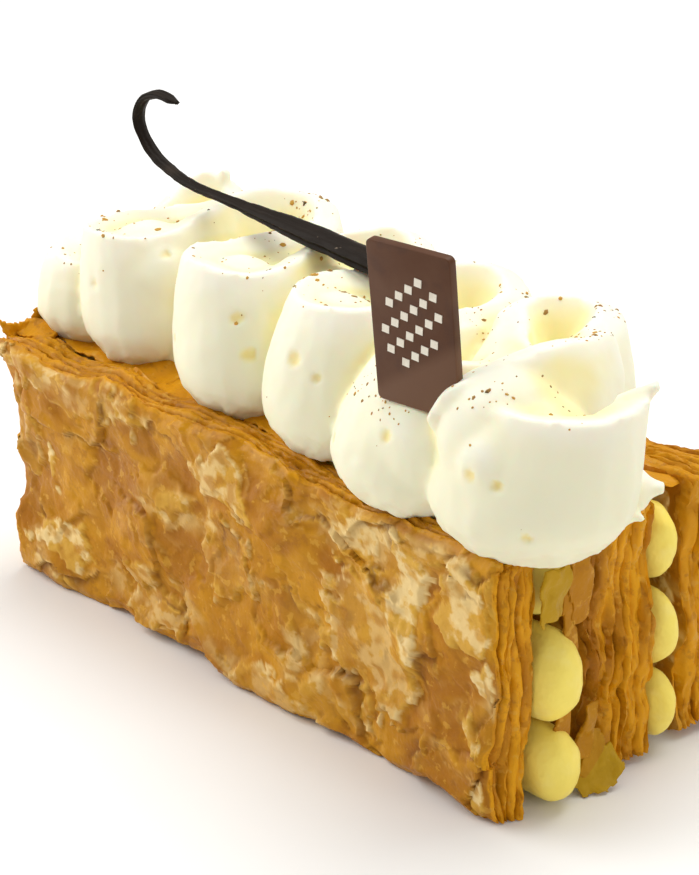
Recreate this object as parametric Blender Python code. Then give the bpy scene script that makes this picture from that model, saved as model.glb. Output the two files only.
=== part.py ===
"""Mille feuille slice lying on its side: three upright slabs of puff pastry
with piped custard ropes between them, a zigzag ribbon of whipped cream along
the top, a vanilla pod resting on the cream and a small chocolate plaque.

+X runs along the slice, the front crust faces -Y, +Z is up and the slice
stands on z = 0. Everything is in metres.
"""

import math

import bmesh
import bpy
import numpy as np
from mathutils import Matrix, Vector, noise

MM = 0.001

# ---- driving sizes -------------------------------------------------------
ORIGIN = (1.7 * MM, -2.3 * MM)   # middle of the finished slice's outer box
SLAB_LENGTH = 121.0 * MM
SLAB_HEIGHT = 44.0 * MM
SLAB_CENTRE_X = -3.0 * MM
SLABS = {  # name: lowest y, highest y, shift along x, seed
    "pastry_front": (-26.0 * MM, -18.6 * MM, 0.0, 1.0),
    "pastry_middle": (-8.2 * MM, 5.2 * MM, 0.8 * MM, 2.0),
    "pastry_back": (13.2 * MM, 24.6 * MM, 2.0 * MM, 3.0),
}
END_SLANT = 0.16             # the right ends run out by this much per depth in y
LEAF_PITCH = 1.9 * MM        # one baked leaf and the gap beside it
LEAF_DEPTH = 1.1 * MM        # how far leaf ends stand out of the cut ends
TOP_RIDGE = 0.9 * MM         # how far leaf edges stand up on the top
CRUST_RELIEF = 0.4 * MM      # swells and dips of the flat crust sides
EDGE_WANDER = 1.0 * MM       # how far the ends and top edge wander
LENGTH_STEPS = 14
HEIGHT_STEPS = 6

ROPE_GAP = 0.3 * MM          # clearance that touching pieces keep
ROPE_TAIL = 2.0 * MM         # how far the ropes swell out at the left end
# Each gap: y of its two walls, then its ropes going up: lowest z, highest z
# and how far the end swells out at the right.
ROPES = {
    "front": (-18.6 * MM, -8.2 * MM,
              ((0.4, 13.2, 5.0), (13.5, 29.8, 4.6), (30.1, 42.6, 0.4))),
    "rear": (5.2 * MM, 13.2 * MM,
             ((1.6, 13.9, 4.2), (14.2, 28.1, 4.0), (28.4, 42.2, 3.0))),
}
ROPE_DOME = 0.62             # length of the domed end as a share of half height
ROPE_SIDES = 12
DOME_RINGS = 4
ROPE_SPANS = 4               # straight stretches between the two domes

CREAM_BED = SLAB_HEIGHT + TOP_RIDGE / 2 + ROPE_GAP
CREAM_FOOT = CREAM_BED - 3.2 * MM   # the ribbon sags to here past the slabs
CREAM_VOXEL = 0.9 * MM
CREAM_KEEP = 0.060           # share of triangles kept after remeshing

# Each bend of the ribbon, in mm: the middle of its turn (x, y), the half width
# of the turn, the ribbon's half thickness at its belly, its height, and how
# far its rim leans over towards +x and +y.
FRONT_BENDS = (
    (-57.6, -13.0, 3.8, 6.8, 14.0, -0.5, 0.0),
    (-42.2, -13.5, 4.8, 7.0, 21.5, -2.0, -1.0),
    (-13.6, -16.0, 5.4, 7.4, 23.5, -2.0, 0.0),
    (9.0, -16.5, 5.4, 7.8, 24.0, 0.5, 2.0),
    (30.6, -21.0, 6.6, 8.8, 23.5, 2.5, 5.0),
    (53.2, -20.5, 8.4, 9.8, 22.5, 2.0, 3.5),
)
BACK_BENDS = (
    (-46.0, 9.0, 3.2, 6.0, 24.5, 0.0, 1.0),
    (-27.5, 13.5, 7.2, 6.4, 25.5, 0.0, 1.0),
    (-1.5, 11.5, 6.4, 6.4, 25.0, 0.0, 1.0),
    (20.0, 10.0, 5.8, 6.6, 25.0, 0.0, 1.0),
    (40.5, 8.5, 5.8, 7.0, 25.5, 0.0, 1.0),
)
RIBBON_START = (-60.5, -3.0, 5.4, 14.5, -0.5, 0.0)
RIBBON_END = (63.5, -5.0, 5.6, 24.0, 3.5, 0.0)
# Cream pressed together between the passes: length, y of its two sides, height.
CORE = (104.0, -14.0, 10.0, 17.0)
RIM_HALF = 1.5               # half thickness of the ribbon's top rim, mm
RIBBON_STEP = 1.5            # spacing of its sections, mm
RIBBON_LEVELS = 10
CORE_RINGS = 16
CORE_SIDES = 9
FOOT = 0.30                  # width of the foot as a share of the belly
BELLY_AT = 0.36              # height of the belly as a share of the ribbon's
DAB_CENTRE = (46.5, -23.0, 63.8)    # cream that laps the plaque's lower corner
DAB_RADII = (6.6, 5.8, 7.8)

POD_Y = -1.0
POD_ROUTE = (  # x and z in mm, from the thick end to the tip of the hook
    (12.0, 68.6), (3.3, 69.6), (-12.0, 70.6), (-27.0, 71.3), (-39.5, 71.9),
    (-46.7, 73.8), (-50.8, 76.2), (-53.4, 80.3), (-51.8, 84.2), (-47.9, 86.0),
    (-42.6, 85.6),
)
POD_WIDTH = (4.3 * MM, 2.1 * MM)
POD_FLATNESS = 0.72
POD_SIDES = 8
POD_STEP = 2.8 * MM

PLAQUE_SIZE = (14.9 * MM, 1.5 * MM, 25.4 * MM)
PLAQUE_CORNER = 2.0 * MM
PLAQUE_CENTRE = (38.6 * MM, -24.4 * MM, 74.1 * MM)
PLAQUE_TURN = math.radians(7.3)
PLAQUE_LEAN = math.radians(6.0)

CRUST = (0.50, 0.25, 0.06)
CUSTARD = (0.80, 0.60, 0.12)
CREAM = (0.93, 0.88, 0.72)
POD = (0.025, 0.018, 0.012)
CHOCOLATE = (0.12, 0.055, 0.032)


# ---- helpers -------------------------------------------------------------
def clear_scene():
    for old in list(bpy.data.objects):
        bpy.data.objects.remove(old, do_unlink=True)


def material(name, colour, roughness):
    mat = bpy.data.materials.new(name)
    mat.use_nodes = True
    shader = mat.node_tree.nodes["Principled BSDF"]
    shader.inputs["Base Color"].default_value = (*colour, 1.0)
    shader.inputs["Roughness"].default_value = roughness
    shader.inputs["Metallic"].default_value = 0.0
    return mat


def new_object(name, bm, mat):
    bmesh.ops.translate(bm, verts=bm.verts, vec=(-ORIGIN[0], -ORIGIN[1], 0))
    bmesh.ops.recalc_face_normals(bm, faces=bm.faces)
    mesh = bpy.data.meshes.new(name)
    bm.to_mesh(mesh)
    bm.free()
    if mat:
        mesh.materials.append(mat)
    obj = bpy.data.objects.new(name, mesh)
    bpy.context.scene.collection.objects.link(obj)
    return obj


def wave(x, y, z, seed, size):
    """Smooth noise of about -1 to 1, with features of about `size` metres."""
    return noise.noise(Vector((x / size, y / size, z / size + 17.3 * seed)))


def smooth_route(points, step, axes=3):
    """Rows every `step` along a Catmull-Rom curve through rows of numbers,
    the first `axes` of which are its place."""
    rows = np.array(points, float)
    rows = np.vstack((2 * rows[0] - rows[1], rows, 2 * rows[-1] - rows[-2]))
    t = np.linspace(0.0, 1.0, 24, endpoint=False)[:, None]
    spans = [0.5 * (2 * b + (c - a) * t + (2 * a - 5 * b + 4 * c - d) * t**2
                    + (3 * b - a - 3 * c + d) * t**3)
             for a, b, c, d in zip(rows, rows[1:], rows[2:], rows[3:])]
    fine = np.vstack((*spans, rows[-2]))
    run = np.r_[0.0, np.cumsum(np.linalg.norm(np.diff(fine[:, :axes], axis=0), axis=1))]
    even = np.linspace(0.0, run[-1], max(2, round(run[-1] / step)) + 1)
    return np.stack([np.interp(even, run, column) for column in fine.T], axis=1)


def loft(bm, rings):
    """Skin a row of equal closed rings and cap both ends with fans."""
    loops = [[bm.verts.new(p) for p in ring] for ring in rings]
    for low, high in zip(loops, loops[1:]):
        for i in range(len(low)):
            j = (i + 1) % len(low)
            bm.faces.new((low[i], low[j], high[j], high[i]))
    for loop in (loops[0], loops[-1]):
        middle = bm.verts.new(sum((v.co for v in loop), Vector()) / len(loop))
        for i in range(len(loop)):
            bm.faces.new((loop[i], loop[(i + 1) % len(loop)], middle))


# ---- pastry --------------------------------------------------------------
def slab(name, y_low, y_high, shift, seed, mat):
    """A block of baked leaves: ridged on its ends and top, swollen on its
    crust sides, flat underneath."""
    leaves = max(3, round((y_high - y_low) / LEAF_PITCH))
    across = 2 * leaves
    bm = bmesh.new()
    grid = {}

    def corner(i, j, k):
        key = (i, j, k)
        if key in grid:
            return grid[key]
        u, v, w = i / LENGTH_STEPS, j / across, k / HEIGHT_STEPS
        y = y_low + v * (y_high - y_low)
        x = SLAB_CENTRE_X + (u - 0.5) * SLAB_LENGTH
        x += u * (shift + END_SLANT * (y - y_low))
        z = w * SLAB_HEIGHT
        end = abs(2 * u - 1) ** 6
        ridge = LEAF_DEPTH if j % 2 else 0.0
        out = ridge - EDGE_WANDER * (0.6 + wave(0, y, z, seed + u, 11 * MM))
        x += math.copysign(out * end, u - 0.5)
        if k == HEIGHT_STEPS:
            lift = TOP_RIDGE * (1.0 if j % 2 else 0.0)
            z += lift - TOP_RIDGE * (0.5 + abs(wave(x, y, 0, seed, 23 * MM)))
        side = abs(2 * v - 1) ** 4 * math.sin(math.pi * min(1.0, w + 0.12))
        y += (1 if v > 0.5 else -1) * side * CRUST_RELIEF * wave(x, 0, z, seed, 14 * MM)
        grid[key] = bm.verts.new((x, y, max(0.0, z)))
        return grid[key]

    def skin(steps_a, steps_b, place):
        for a in range(steps_a):
            for b in range(steps_b):
                bm.faces.new([corner(*place(*p)) for p in
                              ((a, b), (a + 1, b), (a + 1, b + 1), (a, b + 1))])

    for i in (0, LENGTH_STEPS):
        skin(across, HEIGHT_STEPS, lambda a, b, i=i: (i, a, b))
    for j in (0, across):
        skin(LENGTH_STEPS, HEIGHT_STEPS, lambda a, b, j=j: (a, j, b))
    for k in (0, HEIGHT_STEPS):
        skin(LENGTH_STEPS, across, lambda a, b, k=k: (a, b, k))
    return new_object(name, bm, mat)


# ---- custard -------------------------------------------------------------
def rope(name, y_low, y_high, z_low, z_high, overhang, seed, mat):
    """A piped rope of custard squeezed between two slabs, with domed ends."""
    bm = bmesh.new()
    ry = (y_high - y_low) / 2 - ROPE_GAP - CRUST_RELIEF
    rz = (z_high - z_low) / 2
    yc, zc = (y_high + y_low) / 2, (z_high + z_low) / 2
    x_low = SLAB_CENTRE_X - SLAB_LENGTH / 2 - ROPE_TAIL
    x_high = SLAB_CENTRE_X + SLAB_LENGTH / 2 + overhang
    dome = ROPE_DOME * rz
    rises = [0.5 * math.pi * (k + 0.5) / DOME_RINGS for k in range(DOME_RINGS)]
    run = x_high - x_low - 2 * dome
    places = ([(x_low + dome * (1 - math.cos(a)), math.sin(a)) for a in rises]
              + [(x_low + dome + run * k / ROPE_SPANS, 1.0) for k in range(ROPE_SPANS + 1)]
              + [(x_high - dome * (1 - math.cos(a)), math.sin(a)) for a in reversed(rises)])
    rings = []
    for x, size in places:
        swell = 1 + 0.05 * wave(x, 0, zc, seed, 9 * MM)
        ring = []
        for s in range(ROPE_SIDES):
            a = 2 * math.pi * s / ROPE_SIDES
            c, n = math.cos(a), math.sin(a)
            square = 0.93 / max(abs(c) ** 3 + abs(n) ** 3, 0.5) ** (1 / 3)
            ring.append((x, yc + ry * size * min(1.0, swell * square) * c,
                         zc + rz * size * square * n))
        rings.append(ring)
    loft(bm, rings)
    return new_object(name, bm, mat)


def custard(mat):
    for gap, (y_low, y_high, levels) in ROPES.items():
        for level, (z_low, z_high, overhang) in enumerate(levels, 1):
            rope(f"custard_{gap}_{level}", y_low, y_high, z_low * MM, z_high * MM,
                 overhang * MM, level, mat)


# ---- whipped cream -------------------------------------------------------
def ribbon_stations():
    """Rows of x, y, half thickness, height, lean x and lean y, in mm."""
    bends = [FRONT_BENDS[0]]
    for back, front in zip(BACK_BENDS, FRONT_BENDS[1:]):
        bends += [back, front]
    stations = [RIBBON_START]
    for n, (x, y, turn, *rest) in enumerate(bends):
        inward = 0.85 * turn if n % 2 == 0 else -0.85 * turn
        stations += [(x - turn, y + inward, *rest), (x, y, *rest),
                     (x + turn, y + inward, *rest)]
    return stations + [RIBBON_END]


def ribbon_half(half, v):
    """Half thickness at share v of the height: tucked foot, belly, rim."""
    if v < BELLY_AT:
        return half * (FOOT + (1 - FOOT) * math.sin(0.5 * math.pi * v / BELLY_AT))
    up = (v - BELLY_AT) / (1 - BELLY_AT)
    return RIM_HALF + (half - RIM_HALF) * (1 - up**1.7)


def ribbon(bm):
    plan = smooth_route(ribbon_stations(), RIBBON_STEP, axes=2)
    rings = []
    last = len(plan) - 1
    for n, (x, y, half, high, lean_x, lean_y) in enumerate(plan):
        ahead = plan[min(n + 1, last)][:2] - plan[max(n - 1, 0)][:2]
        side = Vector((ahead[1], -ahead[0], 0)).normalized()
        close = min(1.0, 0.35 + 0.2 * min(n, last - n))
        outline = []
        for k in range(RIBBON_LEVELS + 1):
            v = k / RIBBON_LEVELS
            wide = ribbon_half(half * close, v) * (1.0 if k < RIBBON_LEVELS else 0.6)
            outline.append((wide, v))
        outline += [(-wide, v) for wide, v in reversed(outline)]
        ring = []
        for wide, v in outline:
            place = Vector((x + lean_x * v**2, y + lean_y * v**2, 0)) + side * wide
            top = CREAM_BED + high * (0.8 + 0.2 * close) * MM
            ring.append((place.x * MM, place.y * MM, CREAM_FOOT + v * (top - CREAM_FOOT)))
        rings.append(ring)
    loft(bm, rings)


def core(bm):
    """The low mound that closes the valleys between neighbouring passes."""
    length, y_low, y_high, high = CORE
    rings = []
    for i in range(CORE_RINGS + 1):
        u = -math.cos(math.pi * i / CORE_RINGS)
        size = max(0.12, (1 - u**4) ** 0.5)
        ring = []
        for s in range(CORE_SIDES):
            a = math.pi * s / (CORE_SIDES - 1)
            y = (y_low + y_high) / 2 + (y_high - y_low) / 2 * size * math.cos(a)
            ring.append((SLAB_CENTRE_X + u * length / 2 * MM, y * MM,
                         CREAM_BED + size * high * math.sin(a) ** 0.7 * MM))
        rings.append(ring)
    loft(bm, rings)


def dab(bm):
    made = bmesh.ops.create_icosphere(bm, subdivisions=2, radius=MM)["verts"]
    bmesh.ops.scale(bm, verts=made, vec=DAB_RADII)
    bmesh.ops.translate(bm, verts=made, vec=Vector(DAB_CENTRE) * MM)


def whipped_cream(mat):
    bm = bmesh.new()
    ribbon(bm)
    core(bm)
    dab(bm)
    obj = new_object("whipped_cream", bm, mat)
    fuse = obj.modifiers.new("fuse", "REMESH")
    fuse.mode = "VOXEL"
    fuse.voxel_size = CREAM_VOXEL
    soften = obj.modifiers.new("soften", "SMOOTH")
    soften.factor = 0.5
    soften.iterations = 3
    thin = obj.modifiers.new("thin", "DECIMATE")
    thin.ratio = CREAM_KEEP
    return obj


def cut(obj, cutter):
    cutter.hide_render = True
    cutter.display_type = "WIRE"
    modifier = obj.modifiers.new("clear_" + cutter.name, "BOOLEAN")
    modifier.operation = "DIFFERENCE"
    modifier.object = cutter


def slab_reach(name):
    """The furthest +x that a slab's leaf ends can come to."""
    y_low, y_high, shift, _ = SLABS[name]
    return (SLAB_CENTRE_X + SLAB_LENGTH / 2 + shift + END_SLANT * (y_high - y_low)
            + LEAF_DEPTH + 0.4 * EDGE_WANDER)


def bed(name, x_high, y_low, y_high):
    """Cuts the cream flat where it lies and clear of the ends below it."""
    x_low = SLAB_CENTRE_X - SLAB_LENGTH
    z_low = CREAM_FOOT - SLAB_HEIGHT / 2
    bm = bmesh.new()
    bmesh.ops.create_cube(bm, size=1.0)
    bmesh.ops.scale(bm, verts=bm.verts,
                    vec=(x_high - x_low, y_high - y_low, CREAM_BED - z_low))
    bmesh.ops.translate(bm, verts=bm.verts,
                        vec=((x_low + x_high) / 2, (y_low + y_high) / 2,
                             (CREAM_BED + z_low) / 2))
    return new_object(name, bm, None)


def beds():
    """One bed under all of the cream and a longer one over the middle slab."""
    y_low, y_high, _, _ = SLABS["pastry_middle"]
    wide = 2 * SLAB_HEIGHT
    return [bed("bed", slab_reach("pastry_front") + ROPE_GAP, -wide, wide),
            bed("bed_middle", slab_reach("pastry_middle") + ROPE_GAP,
                y_low - 2 * ROPE_GAP, y_high + 2 * ROPE_GAP)]


# ---- vanilla pod and plaque ----------------------------------------------
def pod(name, mat, swell=0.0):
    """A flattened, tapering pod that ends in a hook."""
    route = smooth_route([(x * MM, POD_Y * MM, z * MM) for x, z in POD_ROUTE], POD_STEP)
    last = len(route) - 1
    rings = []
    for n, here in enumerate(route):
        ahead = Vector(route[min(n + 1, last)] - route[max(n - 1, 0)]).normalized()
        across = Vector((0, -1, 0)).cross(ahead).normalized()
        level = ahead.cross(across)
        share = n / last
        thin = 0.5 - 0.5 * math.cos(math.pi * min(1.0, max(0.0, (share - 0.2) / 0.36)))
        wide = POD_WIDTH[0] + (POD_WIDTH[1] - POD_WIDTH[0]) * thin
        end = min(1.0, 0.55 + 0.3 * min(n, last - n))
        ring = []
        for s in range(POD_SIDES):
            a = 2 * math.pi * s / POD_SIDES
            ring.append(Vector(here) + across * (wide / 2 * end + swell) * math.cos(a)
                        + level * (wide / 2 * end * POD_FLATNESS + swell) * math.sin(a))
        rings.append(ring)
    bm = bmesh.new()
    loft(bm, rings)
    return new_object(name, bm, mat)


def plaque(name, mat, swell=0.0):
    """A thin rounded tablet standing in the cream."""
    wide, thick, high = (size + 2 * swell for size in PLAQUE_SIZE)
    bm = bmesh.new()
    bmesh.ops.create_cube(bm, size=1.0)
    bmesh.ops.scale(bm, verts=bm.verts, vec=(wide, thick, high))
    upright = [e for e in bm.edges if abs(e.verts[0].co.y - e.verts[1].co.y) > thick / 2]
    bmesh.ops.bevel(bm, geom=upright, offset=PLAQUE_CORNER, segments=4,
                    profile=0.5, affect="EDGES", clamp_overlap=True)
    turn = Matrix.Rotation(PLAQUE_TURN, 4, "Z") @ Matrix.Rotation(PLAQUE_LEAN, 4, "X")
    bmesh.ops.transform(bm, matrix=Matrix.Translation(PLAQUE_CENTRE) @ turn, verts=bm.verts)
    return new_object(name, bm, mat)


def main():
    clear_scene()
    crust = material("baked_crust", CRUST, 0.6)
    for name, (y_low, y_high, shift, seed) in SLABS.items():
        slab(name, y_low, y_high, shift, seed, crust)
    custard(material("custard", CUSTARD, 0.4))
    cream = whipped_cream(material("whipped_cream", CREAM, 0.5))
    pod("vanilla_pod", material("dried_pod", POD, 0.5))
    plaque("chocolate_plaque", material("chocolate", CHOCOLATE, 0.35))
    for cutter in (*beds(), pod("pod_groove", None, ROPE_GAP),
                   plaque("plaque_slot", None, ROPE_GAP)):
        cut(cream, cutter)


main()
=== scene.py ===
"""Looks of the mille feuille slice: flaky pastry slabs, piped custard, a ribbon
of whipped cream, a vanilla pod, a chocolate plaque, loose leaves and specks.

+X runs along the slice, the front crust faces -Y and +Z is up, as in the frame.
Sizes named here are in mm. The cream, the pod and the plaque are laid out on a
piping plan, whose middle is moved to the frame's by MIDDLE.
"""

import math
import random

import bmesh
import bpy
import numpy as np
from mathutils import Matrix, Vector, noise


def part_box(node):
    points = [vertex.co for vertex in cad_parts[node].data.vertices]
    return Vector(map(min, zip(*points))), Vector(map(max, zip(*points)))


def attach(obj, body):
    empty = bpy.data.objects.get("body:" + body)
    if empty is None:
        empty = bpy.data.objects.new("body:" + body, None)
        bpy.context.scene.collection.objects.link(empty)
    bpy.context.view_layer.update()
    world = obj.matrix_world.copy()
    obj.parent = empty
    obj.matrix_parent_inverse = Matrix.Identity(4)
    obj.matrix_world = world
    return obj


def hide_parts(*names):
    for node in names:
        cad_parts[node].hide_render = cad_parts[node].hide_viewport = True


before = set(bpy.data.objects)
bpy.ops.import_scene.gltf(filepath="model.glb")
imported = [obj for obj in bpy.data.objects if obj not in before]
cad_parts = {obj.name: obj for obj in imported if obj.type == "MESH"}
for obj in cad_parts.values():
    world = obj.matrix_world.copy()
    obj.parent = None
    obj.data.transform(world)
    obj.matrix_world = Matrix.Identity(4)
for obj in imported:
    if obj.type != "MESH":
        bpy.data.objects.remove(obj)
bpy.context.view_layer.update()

MM = 0.001
MIDDLE = Vector((1.7, -2.3, 0.0)) * MM   # the box's middle on the piping plan

# ---- pastry sizes ----
END_SLANT = 0.16  # the right ends run out by this much per depth in y
LEAF_PITCH = 1.7  # one baked leaf and the gap beside it
CRUST_THICK = 1.4  # the unsplit outside of a slab, before its first leaf
CRUST_PROUD = 0.7  # blocks start this far outside the CAD solid
END_INSET = 0.5  # and their ends this far inside it
TOP_PROUD = 0.3
DEEPEST = 4.0  # deepest carving
BLEND = 5.0  # a side's carving fades out over this much of the next
ON_SIDE = 0.02  # a point this near a side lies on it
WARP_SIZE, WARP_DEPTH = 17.0, 4.2  # slow bends of a whole slab
RIPPLE_SIZE = 5.5  # quick bends of leaves
CRUST_RIPPLE, CUT_RIPPLE, LOOSE_RIPPLE = 0.5, 0.8, 2.4
FOOT_FLARE = (0.6, -2.8, 0.0)  # how the front crust's right foot runs out
FLARE_ALONG, FLARE_UP = (42.0, 60.0), (0.0, 15.0)
# painted shade between the custard ropes darkens the middle slab's ends this near the front
# custard
DARK_ACROSS = (2.0, 6.0)  # leaves this near the custard are darker
LEAF_GRID = (34, 17)  # a loose leaf's faces before it is torn
LEAF_THICK = 0.55

# ---- custard sizes ----
ROPE_DOME = 0.8  # length of a domed end as a share of half the height
ROPE_FORWARD = {"front": 1.2, "rear": 0.6}  # how far a rope lies before its box's middle
ROPE_CUTS = 70  # along a rope

# ---- cream, on the piping plan ----
BED = 44.75  # top of the slabs
FOOT_Z = 41.6  # the ribbon sags to here past the slabs
# x, y, half turn, half thickness, height, lean x, lean y
FRONT_BENDS = (
    (-57.6, -13.0, 3.8, 6.8, 14.0, -0.5, 0.0),
    (-42.2, -13.5, 4.8, 7.0, 21.5, -2.0, -1.0),
    (-13.6, -16.0, 5.4, 7.4, 23.5, -2.0, 0.0),
    (9.0, -16.5, 5.4, 7.8, 24.0, 0.5, 2.0),
    (30.6, -20.6, 6.6, 8.8, 22.5, 2.5, 6.0),
    (52.4, -20.5, 7.6, 9.2, 21.8, 3.6, 1.2),
)
BACK_BENDS = (
    (-46.0, 9.0, 3.2, 6.0, 24.5, 0.0, 1.0),
    (-27.5, 13.5, 7.2, 6.4, 25.5, 0.0, 1.0),
    (-1.5, 11.5, 6.4, 6.4, 25.0, 0.0, 1.0),
    (20.0, 10.0, 5.8, 6.6, 25.0, 0.0, 1.0),
    (40.5, 8.5, 5.8, 7.0, 25.5, 0.0, 1.0),
)
RIBBON_START = (-60.5, -3.0, 5.4, 14.5, -0.5, 0.0)
RIBBON_END = (57.4, -6.0, 3.8, 25.0, 7.4, 1.0)
SHOULDER = (  # the end of a pass that laps over the plaque's corner
    (42.8, -23.0, 3.6, 20.5, -0.5, -3.0), (46.2, -20.0, 4.8, 24.5, 0.0, -1.5),
    (49.6, -14.0, 5.4, 26.2, 0.0, 0.0), (51.0, -5.5, 5.2, 26.6, 0.0, 0.0),
    (50.0, 4.0, 4.6, 25.8, 0.0, 0.0),
)
RIM_HALF = 1.9  # half thickness of the ribbon's top rim
SUNK = 2.2  # how far a pass sinks on its way forward
FOOT_SHARE = 0.30  # width of the foot as a share of the belly
OUTWARD = 0.4  # how far the rim leans out over the belly in a bend
RAISED_END = 2.0  # how far the foot lifts at the end of a pass
SHOULDER_FOOT = 55.0
BELLY_AT = 0.36  # height of the belly as a share of the ribbon's
RIBBON_SPANS, SHOULDER_SPANS = (12, 20), (5, 10)  # cuts along a pass, in two goes
RIBBON_LEVELS = 16
CORE_MIDDLE, CORE_HALF = (-3.0, -2.0, BED), (60.0, 14.5, 25.5)
FILLED = (  # centre and radii of the swells that fill the folds
    ((-41.0, -9.5, 58.4), (10.0, 8.5, 8.4)),
    ((-15.0, -11.0, 59.0), (8.5, 7.5, 8.6)), ((8.0, -11.5, 59.0), (8.5, 8.5, 8.4)),
    ((49.6, -17.5, 59.5), (8.8, 10.2, 10.4)),
    ((53.5, -17.6, 57.8), (8.2, 11.4, 8.8)),
    ((35.0, -17.5, 54.0), (13.0, 10.0, 9.5)),
    ((62.2, -4.6, 50.4), (3.6, 3.2, 3.8)), ((63.4, -7.8, 48.6), (2.6, 2.4, 2.6)),
    ((64.6, -11.0, 47.6), (1.9, 1.9, 1.9)),
)
PEAKS = (  # root, tip and half width of the torn bits, most at the right end
    ((60.5, -5.2, 50.6), (65.7, -1.8, 50.8), 2.8),
    ((62.5, -7.6, 48.8), (66.4, -6.8, 48.0), 2.0),
    ((62.0, -9.5, 48.4), (65.7, -9.8, 47.3), 1.4),
    ((62.0, -12.0, 48.4), (66.0, -12.6, 47.4), 1.3),
    ((63.0, -7.0, 64.5), (66.9, -5.4, 68.1), 2.3),
    ((-46.5, 10.0, 64.5), (-45.0, 11.0, 70.2), 2.6),
)
# the hollows below are painted yellower, as painted shade
HOLLOWS = (  # centre and radius of the yellower hollows between the folds
    ((57.5, -8.0, 69.0), 14.0), ((45.0, -5.0, 72.0), 12.0), ((20.0, -4.0, 71.0), 9.0),
    ((-4.0, -4.0, 71.0), 9.0), ((-28.0, 0.0, 71.0), 10.0),
)
CREAM_VOXEL = 0.62
SOFTENED, HOLLOW_SOFTENED = 8, 150  # rounds of smoothing
FEET = (44.5, 50.0)  # the foot's ragged edge fades out upward
PIT_DEPTH, PIT_REACH = 0.4, 2.5
# air pockets broken open on the fronts: x, z and half width, in the frame
PITS = (
    (-35.0, 64.0, 0.9), (-8.8, 61.6, 0.9), (-6.5, 55.8, 1.1), (-22.0, 55.0, 0.7),
    (8.0, 60.4, 1.2), (12.5, 58.4, 0.8), (33.0, 57.0, 1.0), (51.8, 57.6, 1.0),
    (56.0, 57.0, 0.8), (20.0, 52.0, 0.7), (-45.0, 58.0, 0.7), (60.5, 50.0, 0.7),
)

# ---- pod, plaque and specks ----
POD_Y = -1.0
POD_ROUTE = (  # x and z, from the thick end to the tip of the hook
    (12.0, 68.6), (3.3, 69.6), (-12.0, 70.6), (-27.0, 71.3), (-39.5, 71.9),
    (-46.7, 73.8), (-50.8, 76.2), (-53.4, 80.3), (-51.8, 84.2), (-47.9, 86.0),
    (-42.6, 85.6),
)
POD_WIDTH = (5.3, 2.3)  # near its thick end and near its tip
THIN_FROM, THIN_RUN = 0.20, 0.36  # where on the route it thins, as shares
POD_FLATNESS = 0.6
POD_SIDES, POD_STEPS = 28, 110
PLAQUE_SIZE = (14.9, 1.5, 25.4)
PLAQUE_CENTRE = (38.6, -24.4, 74.1)
PLAQUE_TURN = math.radians(7.3)
PLAQUE_LEAN = math.radians(6.0)
PLAQUE_CORNER, PLAQUE_EDGE = 0.9, 0.18
LOZENGE_ROWS = (4, 6, 6, 4)  # lozenges in each row
LOZENGE, LOZENGE_THICK = 1.25, 0.14
LOZENGE_STEP, ROW_STEP, ROWS_UP = 2.3, 3.0, 1.2
ROW_SLANT = math.radians(38)
SPECK_COUNT = 600
SPECK_SIZES = (0.14, 0.42)

# ---- camera and light ----
AZIMUTH, ELEVATION, ROLL = math.radians(47.3215), math.radians(24.2126), -0.0130154
CAMERA_AIM = (5.4955, -6.8768, 41.1240)  # on the piping plan
CAMERA_FAR = 0.380767  # metres from the aim
LENS, SENSOR = 97.387, 36.0
ROOM_LIGHT = 0.42
LAMPS = (  # name, place and size in metres, watts, colour
    ("window", (-0.56, -0.40, 0.66), 0.6, 4.0, (1.0, 0.99, 0.96)),
    ("fill", (-0.42, -0.22, 0.12), 0.3, 0.52, (1.0, 0.99, 0.97)),
    ("overhead", (0.0, 0.30, 0.78), 0.7, 4.9, (1.0, 1.0, 0.98)),
    ("side", (0.80, 0.05, 0.35), 0.5, 1.2, (1.0, 1.0, 0.98)),
)


# ---- modelling helpers ---------------------------------------------------
def from_plan(place):
    """A place on the piping plan in mm, in the frame in metres."""
    return Vector(place) * MM - MIDDLE


def only(obj):
    """Selects one object alone and makes it the active one."""
    bpy.ops.object.select_all(action="DESELECT")
    obj.select_set(True)
    bpy.context.view_layer.objects.active = obj


def name_it(name):
    obj = bpy.context.object
    obj.name = name
    obj.data.name = name
    return obj


def settled(name):
    """Names the new object and applies its place, turn and size."""
    obj = name_it(name)
    bpy.ops.object.transform_apply(location=True, rotation=True, scale=True)
    return obj


def finish_with(obj, kind, **values):
    """Adds a modifier, sets it and applies it."""
    only(obj)
    modifier = obj.modifiers.new(kind.lower(), kind)
    for key, value in values.items():
        setattr(modifier, key, value)
    bpy.ops.object.modifier_apply(modifier=modifier.name)


def pick(obj, mode, keep):
    """In edit mode, selects the points, edges or faces that `keep` accepts."""
    bpy.ops.mesh.select_mode(type=mode)
    bpy.ops.mesh.select_all(action="DESELECT")
    bm = bmesh.from_edit_mesh(obj.data)
    for item in {"VERT": bm.verts, "EDGE": bm.edges, "FACE": bm.faces}[mode]:
        if keep(item):
            item.select_set(True)
    bm.select_flush_mode()
    bmesh.update_edit_mesh(obj.data)


def divide(obj, axis, counts):
    """Cuts every edge that runs along an axis into counts[0] * counts[1]..."""
    def along(edge):
        run = (edge.verts[1].co - edge.verts[0].co).normalized()
        return abs(run[axis]) > 0.9

    for count in counts:
        pick(obj, "EDGE", along)
        bpy.ops.mesh.subdivide(number_cuts=count - 1)


def join(name, parts):
    bpy.ops.object.select_all(action="DESELECT")
    for part in parts:
        part.select_set(True)
    bpy.context.view_layer.objects.active = parts[0]
    bpy.ops.object.join()
    return name_it(name)


def stand_on_floor(obj):
    for v in obj.data.vertices:
        v.co.z = max(v.co.z, 0.0)


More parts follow.
